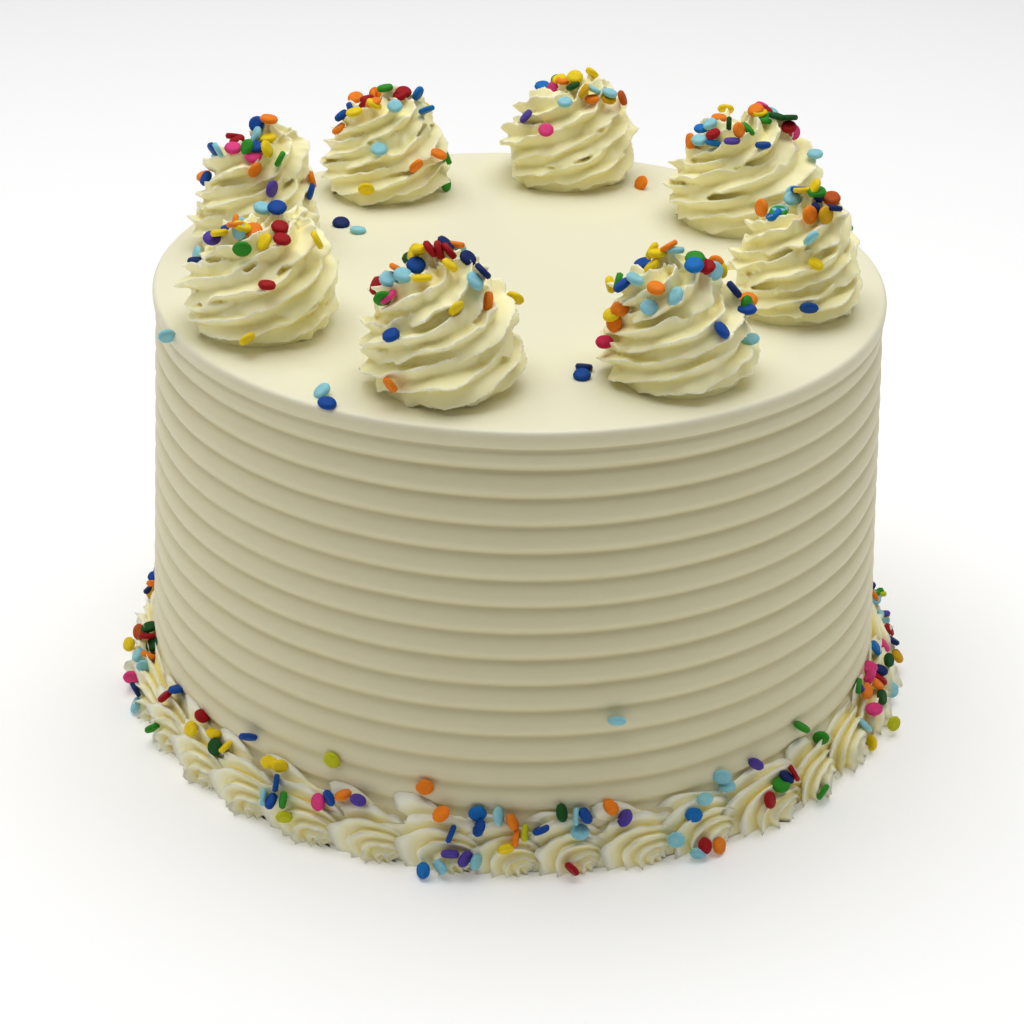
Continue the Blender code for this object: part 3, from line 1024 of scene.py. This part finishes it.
# moving a disc out of the cream, and then back until it touches
discFit = {
    "rings": (0.4, 0.7, 0.9, 1.0),  # where a disc's faces are felt
    "perRing": 10,
    "clearPasses": 3,
    "clearShare": 0.94,  # of the radius that is kept clear
    "clearDepth": 3.0 * mm,
    "clearStep": 1.2 * mm,
    "touchPasses": 7,
    "viewPasses": 3,  # the first of them, which go along the view
    "touchGap": 0.08 * mm,
    "overshoot": 1.05,
}

# What each seen sprinkle lies on, its colour, its place in the photo's pixels, the turn of its long axis
# there in degrees and how round it looks: 1 face on, 0.3 edge on.
seenSprinkles = {
    "swirl_1": {
        "yellow": [(418, 245, 10, 0.5), (450, 265, -38, 0.5), (422, 278, 3, 0.42), (456, 308, 45, 0.5)],
        "darkRed": [
            (430, 249, -55, 0.45), (439, 250, -75, 0.45), (449, 251, -50, 0.35), (376, 282, 70, 0.6),
        ],
        "navy": [(468, 258, -40, 0.8), (483, 271, -45, 0.3)],
        "darkGreen": [(411, 256, 0, 0.8)],
        "royalBlue": [(416, 265, 0, 0.95), (391, 335, 25, 0.75)],
        "orange": [(396, 266, -30, 0.35), (488, 301, 83, 0.5), (390, 385, -50, 0.5)],
        "sky": [(389, 279, 0, 0.9), (403, 275, -20, 0.85), (475, 281, -52, 0.72)],
        "green": [(364, 296, 10, 0.85)],
        "pink": [(388, 297, 40, 0.42)],
    },
    "swirl_2": {
        "yellow": [(653, 244, 0, 0.5), (641, 251, 42, 0.45), (612, 314, 30, 0.75)],
        "orange": [
            (669, 245, 30, 0.3), (656, 288, -15, 0.8), (602, 310, 0, 0.85), (591, 329, 90, 0.9),
            (748, 300, 0, 0.95),
        ],
        "sky": [
            (675, 250, 0, 0.35), (715, 271, 90, 0.95), (675, 296, 60, 0.75), (649, 307, 0, 0.95),
            (635, 279, -30, 0.6), (750, 339, 5, 0.72),
        ],
        "green": [(695, 258, 0, 0.8), (618, 280, 75, 0.35), (765, 305, 90, 0.65)],
        "azure": [(694, 265, 0, 0.9)],
        "royalBlue": [(622, 285, 38, 0.5), (722, 330, -52, 0.6), (754, 310, 0, 0.6)],
        "darkRed": [(712, 257, 0, 0.85), (705, 266, -70, 0.5)],
        "crimson": [(601, 345, 0, 0.8)],
        "navy": [(743, 287, -50, 0.35)],
    },
    "swirl_3": {
        "azure": [(748, 183, 35, 0.6)],
        "orange": [(747, 194, 90, 0.8), (810, 215, 90, 0.85)],
        "rust": [(831, 196, 0, 0.9)],
        "mustard": [(826, 215, 90, 0.85)],
        "sky": [(765, 179, 0, 0.6), (789, 199, 0, 0.9), (811, 238, 45, 0.5)],
        "green": [(764, 188, 5, 0.8), (817, 192, 0, 0.7)],
        "royalBlue": [(800, 186, -2, 0.2), (809, 308, -3, 0.65)],
        "yellow": [(802, 190, 2, 0.25), (814, 184, 60, 0.6), (816, 264, -35, 0.65)],
        "navy": [(824, 182, -65, 0.6), (818, 209, -55, 0.35), (834, 208, -8, 0.35)],
    },
    "swirl_4": {
        "yellow": [(762, 104, 0, 0.6)],
        "orange": [
            (756, 109, 20, 0.85), (772, 107, -40, 0.5), (719, 118, -5, 0.6), (690, 141, 90, 0.6),
            (739, 130, 100, 0.8),
        ],
        "sky": [(710, 124, 30, 0.7), (699, 140, 0, 0.8), (815, 154, 0, 0.7)],
        "azure": [(701, 129, 0, 0.7), (713, 143, -8, 0.4)],
        "darkRed": [(713, 134, 25, 0.65), (789, 127, 0, 0.9)],
        "purple": [(732, 141, 0, 0.5)],
        "darkGreen": [(782, 110, -15, 0.45), (792, 119, 0, 0.35), (729, 124, 88, 0.35)],
        "green": [(767, 118, 0, 0.8), (748, 129, -45, 0.45)],
        "royalBlue": [(763, 145, 0, 0.45)],
        "pink": [(802, 128, 90, 0.85)],
    },
    "swirl_5": {
        "yellow": [(575, 77, 0, 0.95)],
        "mustard": [(584, 91, 60, 0.5), (609, 99, -15, 0.75)],
        "orange": [(563, 81, -5, 0.55), (592, 99, 8, 0.65)],
        "darkGreen": [(573, 86, 25, 0.45)],
        "pink": [(553, 89, 100, 0.8), (546, 130, 0, 1.0)],
        "sky": [(565, 102, 0, 0.8), (593, 89, -28, 0.4), (610, 93, -20, 0.6)],
        "rust": [(626, 96, -70, 0.5)],
        "purple": [(506, 114, 50, 0.5)],
    },
    "swirl_6": {
        "orange": [(369, 90, 20, 0.6), (339, 128, 40, 0.45), (416, 166, 42, 0.6), (439, 154, -25, 0.6)],
        "darkRed": [(360, 94, 50, 0.35), (367, 99, 15, 0.5), (407, 85, 0, 0.85), (400, 95, 25, 0.75)],
        "green": [(385, 88, 10, 0.5), (449, 158, -68, 0.35)],
        "yellow": [(374, 104, -30, 0.5), (354, 112, 15, 0.6), (366, 189, 0, 0.85)],
        "sky": [(395, 106, 0, 0.95), (379, 149, 0, 0.9)],
        "azure": [(422, 89, 60, 0.6), (440, 103, 20, 0.4)],
        "royalBlue": [(344, 105, -70, 0.4), (341, 113, 40, 0.5)],
    },
    "swirl_7": {
        "orange": [(269, 119, -8, 0.6), (255, 170, 50, 0.7), (323, 181, 105, 0.3)],
        "sky": [(256, 135, 70, 0.5), (218, 150, -60, 0.3)],
        "yellow": [(268, 138, 10, 0.6), (267, 149, -70, 0.65)],
        "darkRed": [(237, 140, 25, 0.5)],
        "pink": [(233, 148, 0, 0.8), (253, 156, 0, 0.95)],
        "green": [(247, 147, 70, 0.8), (280, 159, 62, 0.3)],
        "royalBlue": [(256, 147, 0, 0.7), (212, 151, -50, 0.5), (206, 178, 65, 0.65), (326, 197, 75, 0.4)],
        "purple": [(272, 189, 75, 0.7)],
    },
    "swirl_8": {
        "royalBlue": [(280, 200, 0, 0.9), (229, 227, 18, 0.4)],
        "orange": [(224, 207, 80, 0.35), (230, 216, 3, 0.35), (253, 230, 0, 0.9)],
        "sky": [(259, 208, -15, 0.75), (239, 231, 90, 0.8)],
        "yellow": [
            (235, 210, -20, 0.6), (211, 227, 8, 0.35), (264, 242, 60, 0.7), (317, 240, -62, 0.35),
            (247, 339, 35, 0.5),
        ],
        "purple": [(212, 238, 0, 0.9)],
        "green": [(242, 249, 0, 0.9)],
        "darkRed": [(280, 227, -15, 0.85), (282, 239, -15, 0.75), (267, 285, -5, 0.6)],
        "navy": [(197, 261, 0, 0.5)],
    },
    "top": {
        "navy": [(341, 223, 0, 0.85), (584, 367, -5, 0.4)],
        "royalBlue": [(582, 375, 0, 0.85), (327, 403, -10, 0.75)],
        "sky": [(358, 230, -5, 0.55), (322, 391, 45, 0.7), (167, 336, 10, 0.8)],
        "green": [(446, 184, 95, 0.75)],
        "orange": [(641, 183, 60, 0.85)],
    },
    "side": {
        "sky": [(617, 721, 0, 0.55), (722, 777, 0, 0.9), (727, 786, 0, 0.8)],
        "lime": [(332, 760, -40, 0.85)],
        "orange": [(425, 787, 0, 0.95)],
        "royalBlue": [(248, 737, -5, 0.45)],
        "green": [(802, 727, -30, 0.5), (821, 738, 0, 0.9)],
        "purple": [(756, 764, -30, 0.7)],
    },
    "borderLeft": {
        "azure": [(146, 569, 80, 0.65)],
        "navy": [(155, 564, 75, 0.6), (139, 582, 40, 0.4), (133, 680, -20, 0.3), (132, 691, -60, 0.3)],
        "mustard": [(152, 592, 70, 0.75)],
        "yellow": [
            (118, 639, 80, 0.8), (191, 729, 90, 0.85), (215, 732, -5, 0.65), (225, 747, 42, 0.4),
            (269, 762, 0, 0.9), (280, 766, 0, 0.8),
        ],
        "lime": [(284, 817, 0, 0.75)],
        "sky": [
            (155, 601, 60, 0.6), (156, 630, 0, 0.9), (138, 655, 60, 0.6), (144, 666, 0, 0.95),
            (135, 707, 70, 0.5), (263, 797, 85, 0.3),
        ],
        "rust": [(139, 632, 90, 0.8)],
        "orange": [(161, 651, 35, 0.5), (148, 655, -20, 0.3)],
        "darkGreen": [(149, 627, 20, 0.7), (154, 644, 50, 0.8), (215, 747, 90, 0.9)],
        "green": [(151, 728, 22, 0.5), (283, 800, 82, 0.45)],
        "pink": [(126, 682, 0, 0.85)],
        "darkRed": [(147, 636, 0, 0.4), (165, 696, 40, 0.45), (202, 716, -30, 0.85)],
        "royalBlue": [(177, 689, 10, 0.55), (276, 783, 82, 0.2), (271, 801, 65, 0.6)],
    },
    "borderFront": {
        "pink": [(318, 802, 90, 0.85)],
        "royalBlue": [
            (329, 798, -65, 0.6), (479, 828, 70, 0.65), (451, 834, 68, 0.35), (541, 830, 22, 0.5),
            (586, 811, -60, 0.65),
        ],
        "azure": [(475, 809, 0, 0.95), (423, 872, 90, 0.85), (694, 815, 0, 0.9)],
        "orange": [
            (343, 795, 20, 0.6), (441, 814, 40, 0.85), (513, 818, -65, 0.6), (516, 838, 78, 0.35),
            (611, 807, -50, 0.8), (720, 848, 90, 0.8),
        ],
        "purple": [(358, 800, -20, 0.75), (450, 854, -3, 0.5), (465, 859, 55, 0.65), (625, 818, 60, 0.8)],
        "sky": [
            (476, 862, 70, 0.7), (440, 867, -50, 0.65), (499, 816, 95, 0.65), (576, 815, 88, 0.35),
            (580, 832, 0, 0.95), (705, 799, 10, 0.8), (676, 840, 0, 0.95), (702, 860, 0, 0.7),
        ],
        "lime": [(525, 833, 85, 0.4)],
        "yellow": [(506, 849, 15, 0.6)],
        "darkGreen": [(564, 806, 100, 0.65)],
        "green": [(781, 785, 0, 0.95), (823, 792, 55, 0.35)],
        "darkRed": [(572, 869, -42, 0.5), (794, 773, -60, 0.25), (770, 800, 95, 0.7), (705, 846, 90, 0.85)],
        "navy": [(787, 777, -40, 0.6)],
    },
    "borderRight": {
        "sky": [
            (881, 574, -10, 0.5), (888, 598, 0, 0.35), (882, 620, 0, 0.9), (895, 691, 90, 0.8),
            (865, 725, -45, 0.4),
        ],
        "green": [(894, 586, 60, 0.6), (879, 592, 0, 0.5), (859, 686, 85, 0.35)],
        "darkGreen": [(889, 660, 95, 0.75), (882, 697, 95, 0.65)],
        "lime": [(889, 593, 5, 0.35), (903, 606, -10, 0.55), (905, 726, 70, 0.8)],
        "mustard": [(900, 659, -60, 0.6)],
        "yellow": [(875, 746, 90, 0.8)],
        "purple": [(893, 610, 8, 0.5), (851, 684, -60, 0.35)],
        "navy": [(878, 582, 0, 0.6), (904, 637, -32, 0.4), (880, 670, -20, 0.7)],
        "azure": [(876, 648, -60, 0.55)],
        "pink": [(884, 645, -55, 0.5), (866, 667, 0, 0.9), (870, 676, 60, 0.6), (874, 709, 0, 0.85)],
        "darkRed": [(880, 679, -40, 0.5)],
        "orange": [(867, 691, 90, 0.75), (877, 684, -40, 0.55)],
    },
}

hiddenSprinkles = {
    "shares": {
        "sky": 5, "royalBlue": 3, "yellow": 3, "orange": 3, "green": 2, "darkRed": 2, "pink": 1, "purple": 1,
        "navy": 1, "azure": 1,
    },
    "perSwirl": 7,
    "swirlAngles": (15.0, 165.0),  # degrees round each swirl, on its side away from the camera
    "swirlHeights": (0.35, 0.95),  # shares of its height
    "swirlSlope": 0.15,
    "swirlStart": 0.06,  # metres out from its axis, where the search for its cream starts
    "clusters": 15,
    "clustersFrom": 4.0,  # degrees round the border
    "clustersOver": 172.0,
    "clusterPlace": (0.2, 0.8),
    "clusterSpread": 3.2,
    "perCluster": (3, 8),
    "borderRadius": 0.104,
    "borderHeights": (0.004, 0.018),
    "borderSlope": 0.9,
    "borderStart": 0.05,
}


def overSwirl(spec, height):
    angle = math.radians(spec["angle"])
    distance = spec["distance"]
    return Vector((distance * math.cos(angle), distance * math.sin(angle), topHeight + height))


def discAxes(facing):
    first = facing.orthogonal().normalized() * (0.5 * sprinkleShape["diameter"])
    return first, facing.cross(first), facing * (0.5 * sprinkleShape["thickness"])


def discSpots(first, second):
    # spots all over a disc's face, from its middle
    spots = [(first, 0.0)]
    for share in discFit["rings"]:
        for step in range(discFit["perRing"]):
            turn = 2.0 * math.pi / discFit["perRing"] * step
            spots.append((first * math.cos(turn) + second * math.sin(turn), share))
    return spots


class Surfaces:
    def __init__(self, pieces):
        graph = bpy.context.evaluated_depsgraph_get()
        self.trees = {piece.name: BVHTree.FromObject(piece, graph) for piece in pieces}

    def hit(self, origin, aim, only=None):
        best = None
        for name, tree in self.trees.items():
            if only and name != only:
                continue
            place, normal, _, distance = tree.ray_cast(origin, aim)
            if place is not None and (best is None or distance < best[0]):
                best = (distance, name, place, normal)
        return best

    def nearest(self, origin, aim, name):
        # the point of a piece that comes closest to a ray which misses it
        best = None
        for step in np.linspace(*sprinkleShape["searchRange"]):
            place, normal, _, distance = self.trees[name].find_nearest(origin + aim * step)
            if best is None or distance < best[0]:
                best = (distance, name, place, normal)
        return best

    def feel(self, name, place):
        # the mean normal round a place, and how far the crests there stand above it
        near = self.trees[name].find_nearest_range(place, sprinkleShape["feel"])
        normal = Vector((0.0, 0.0, 0.0))
        for _, facing, _, _ in near:
            normal += facing
        normal.normalize()
        heights = sorted((spot - place).dot(normal) for spot, _, _, _ in near)
        return normal, heights[int(sprinkleShape["crestShare"] * (len(heights) - 1))]

    def clear(self, name, middle, facing, aim):
        # a disc moved along the view until its seen face is out of the cream, but for its rim
        first, second, face = discAxes(facing)
        if facing.dot(aim) > 0.0:
            face = -face
        spots = discSpots(first, second)
        for _ in range(discFit["clearPasses"]):
            depth = 0.0
            for way, share in spots:
                spot = middle + way * (discFit["clearShare"] * share) + face
                _, normal, _, distance = self.trees[name].ray_cast(spot, -aim, discFit["clearDepth"])
                if normal is not None and normal.dot(aim) < 0.0:
                    depth = max(depth, distance)
            middle = middle - aim * min(depth, discFit["clearStep"])
        return middle

    def touch(self, name, middle, facing, aim):
        # a disc that hangs clear goes on along the view, then straight at the cream, until it touches
        first, second, face = discAxes(facing)
        spots = discSpots(first, second)
        for attempt in range(discFit["touchPasses"]):
            gap = None
            for way, share in spots:
                for side in (face, -face):
                    spot = middle + way * share + side
                    place, normal, _, distance = self.trees[name].find_nearest(spot)
                    distance = 0.0 if (spot - place).dot(normal) < 0.0 else distance
                    if gap is None or distance < gap[0]:
                        gap = (distance, place - spot)
            if gap[0] < discFit["touchGap"]:
                break
            onward = attempt < discFit["viewPasses"]
            middle = middle + (aim * gap[0] if onward else gap[1] * discFit["overshoot"])
        return middle


def seenFacing(aim, normal, cameraPlace, turn, roundness):
    # the disc's facing that gives its seen ellipse; of the two that do, the one that lies better
    depth = sprinkleShape["thickness"] / sprinkleShape["diameter"]
    square = 1.0 + depth * depth
    openness = (roundness - depth * math.sqrt(square - roundness * roundness)) / square
    least, most = sprinkleShape["openness"]
    openness = min(most, max(least, openness))
    turn = math.radians(turn)
    along = cameraPlace.to_3x3() @ Vector((math.cos(turn), math.sin(turn), 0.0))
    along = (along - aim * along.dot(aim)).normalized()
    across = along.cross(aim)
    lean = math.sqrt(1.0 - openness * openness)
    facings = [-aim * openness + across * lean, -aim * openness - across * lean]
    return max(facings, key=normal.dot)


def settle(surfaces, found, aim, rng, view=None):
    # a disc's middle and turn, resting on the crests under it; it all but keeps its place in the view
    shape = sprinkleShape
    _, name, place, _ = found
    normal, crest = surfaces.feel(name, place)
    radius = 0.5 * shape["diameter"]
    halfDepth = 0.5 * shape["thickness"]
    if view:
        facing = seenFacing(aim, normal, *view)
    else:
        side = normal.orthogonal().normalized()
        side.rotate(Matrix.Rotation(rng.uniform(0.0, 2.0 * math.pi), 3, normal))
        facing = Matrix.Rotation(math.radians(rng.uniform(0.0, shape["hiddenLean"])), 3, side) @ normal
    level = abs(facing.dot(normal))
    lift = max(0.0, crest) * level + halfDepth * level
    lift += shape["standing"] * radius * math.sqrt(1.0 - level * level) - shape["sink"]
    slant = max(shape["leastSlant"], -aim.dot(normal))
    middle = surfaces.clear(name, place - aim * (lift / slant), facing, aim)
    middle = surfaces.touch(name, middle, facing, aim)
    away = math.hypot(middle.x, middle.y)
    least = sideRadius(middle.z) + shape["offSide"]
    if middle.z < cakeShape["lipLine"] and away < least:
        middle = Vector((least / away * middle.x, least / away * middle.y, middle.z))
    reach = radius * math.sqrt(1.0 - facing.z**2) + halfDepth * abs(facing.z)
    if middle.z < reach and aim.z < 0.0:  # along the view until it is off the floor
        middle = middle + aim * ((reach - middle.z) / aim.z)
    turn = facing.to_track_quat("Z", "Y").to_euler()
    return middle, (turn.x, turn.y, turn.z)


def slideOn(surfaces, cameraPlace, x, y, node):
    # a disc seen just off a swirl's edge goes towards the swirl's middle until it is well on the cream
    spec = swirls[node]
    towardsX, towardsY = seenAt(cameraPlace, overSwirl(spec, sprinkleShape["swirlMiddle"] * spec["height"]))
    far = math.hypot(towardsX - x, towardsY - y)
    onCream = 0
    for step in range(1, int(far)):
        share = step / far
        origin, aim = pixelRay(cameraPlace, x + (towardsX - x) * share, y + (towardsY - y) * share)
        found = surfaces.hit(origin, aim)
        onCream = onCream + 1 if found and found[1] == "piped_" + node else 0
        if onCream == sprinkleShape["inwards"]:
            return found, aim
    return None


def findSeen(surfaces, cameraPlace, rng):
    discs = {colour: [] for colour in sprinkleColours}
    for carrier, colours in seenSprinkles.items():
        name = "piped_" + carrier if carrier in swirls else None
        if carrier.startswith("border"):
            name = "piped_border"
        for colour, spots in colours.items():
            for x, y, turn, roundness in spots:
                origin, aim = pixelRay(cameraPlace, x, y)
                found = surfaces.hit(origin, aim)
                if name and (found is None or found[1] != name):
                    found = surfaces.nearest(origin, aim, name)
                    if carrier in swirls and found[0] > sprinkleShape["overhang"]:
                        found, aim = slideOn(surfaces, cameraPlace, x, y, carrier) or (found, aim)
                if found is None:
                    found = surfaces.nearest(origin, aim, "cake_body")
                discs[colour].append(settle(surfaces, found, aim, rng, (cameraPlace, turn, roundness)))
    return discs


def addHidden(surfaces, discs, rng):
    hidden = hiddenSprinkles
    palette = [colour for colour, share in hidden["shares"].items() for _ in range(share)]

    def addFound(origin, aim, name):
        found = surfaces.hit(origin, aim, name)
        if found:
            discs[rng.choice(palette)].append(settle(surfaces, found, aim, rng))

    for node, spec in swirls.items():
        foot = overSwirl(spec, 0.0)
        for _ in range(hidden["perSwirl"]):
            way = math.radians(rng.uniform(*hidden["swirlAngles"]))
            height = spec["height"] * rng.uniform(*hidden["swirlHeights"])
            aim = Vector((-math.cos(way), -math.sin(way), -hidden["swirlSlope"])).normalized()
            addFound(foot + Vector((0.0, 0.0, height)) - aim * hidden["swirlStart"], aim, "piped_" + node)
    for cluster in range(hidden["clusters"]):
        place = cluster + rng.uniform(*hidden["clusterPlace"])
        middle = hidden["clustersFrom"] + hidden["clustersOver"] * place / hidden["clusters"]
        for _ in range(rng.randint(*hidden["perCluster"])):
            way = math.radians(middle + rng.gauss(0.0, hidden["clusterSpread"]))
            aim = Vector((-math.cos(way), -math.sin(way), -hidden["borderSlope"])).normalized()
            radius = hidden["borderRadius"]
            height = rng.uniform(*hidden["borderHeights"])
            target = Vector((radius * math.cos(way), radius * math.sin(way), height))
            addFound(target - aim * hidden["borderStart"], aim, "piped_border")


def discTree():
    tree, given, result = newTree("scattered discs", {
        "Diameter": ("Float", 5.0 * mm),
        "Thickness": ("Float", 1.0 * mm),
        "Sides": ("Int", 12),
        "Segments": ("Int", 1),
        "Edge Round": ("Float", 0.1),
        "Coating": ("Material", None),
    })
    disc = tree.nodes.new("GeometryNodeMeshCylinder")
    disc.fill_type = "TRIANGLE_FAN"
    radius = times(tree, given["Diameter"], 0.5)
    for label, value in {
        "Vertices": given["Sides"],
        "Side Segments": given["Segments"],
        "Fill Segments": given["Segments"],
        "Radius": radius,
        "Depth": given["Thickness"],
    }.items():
        tree.links.new(value, disc.inputs[label])
    position = addNode(tree, "GeometryNodeInputPosition").outputs[0]
    parts = addNode(tree, "ShaderNodeSeparateXYZ", Vector=position).outputs
    up = calculate(tree, "DIVIDE", parts["Z"], times(tree, given["Thickness"], 0.5))
    narrow = times(tree, times(tree, up, up), given["Edge Round"])
    share = calculate(tree, "SUBTRACT", 1.0, narrow)
    x = times(tree, parts["X"], share)
    y = times(tree, parts["Y"], share)
    shaped = addNode(tree, "ShaderNodeCombineXYZ", X=x, Y=y, Z=parts["Z"]).outputs[0]
    rounded = addNode(tree, "GeometryNodeSetPosition", Geometry=disc.outputs["Mesh"], Position=shaped)
    placed = copiesOn(tree, given["Geometry"], rounded.outputs[0])
    real = addNode(tree, "GeometryNodeRealizeInstances", Geometry=placed)
    smooth = addNode(tree, "GeometryNodeSetShadeSmooth", Geometry=real.outputs[0])
    endTree(tree, smooth.outputs[0], given["Coating"], result)
    return tree


def makeSprinkles(discs, rng):
    shape = sprinkleShape
    tree = discTree()
    for colour, spots in discs.items():
        if not spots:
            continue
        points = objectFromArrays(colour + "Spots", [middle for middle, _ in spots], [])
        sizes = [rng.uniform(*shape["sizes"]) for _ in spots]
        swells = [
            (size, size * rng.uniform(*shape["widths"]), rng.uniform(*shape["depths"])) for size in sizes
        ]
        storeAttribute(points.data, "facing", "FLOAT_VECTOR", [facing for _, facing in spots])
        storeAttribute(points.data, "swell", "FLOAT_VECTOR", swells)
        piece = runTree(points, tree, {
            "Diameter": shape["diameter"],
            "Thickness": shape["thickness"],
            "Sides": shape["sides"],
            "Segments": shape["segments"],
            "Edge Round": shape["edgeRound"],
            "Coating": sprinkleFinish(colour + "Sugar", sprinkleColours[colour]),
        }, "sprinkles_" + colour)
        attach(piece, "root")


cameraPlace = makeCamera(cameraSetup)
makeLights(lightSetup)
makeFloor(floorLook)
print("camera, light and floor are ready")

carriers = [makeCake(creamFinish("combedCream"))]
print("cake body:", len(carriers[0].data.polygons), "faces")
pipedCream = creamFinish("pipedCream")
for number, (node, spec) in enumerate(swirls.items()):
    carriers.append(makeSwirl(node, spec, swirlShape["seed"] + number, pipedCream))
    print(node + ":", len(carriers[-1].data.polygons), "faces")
carriers.append(makeBorder(creamFinish("borderCream")))
print("border:", len(carriers[-1].data.polygons), "faces")

dice = random.Random(sprinkleShape["seed"])
surfaces = Surfaces(carriers)
discs = findSeen(surfaces, cameraPlace, dice)
addHidden(surfaces, discs, dice)
makeSprinkles(discs, dice)
print("sprinkles:", sum(len(spots) for spots in discs.values()))
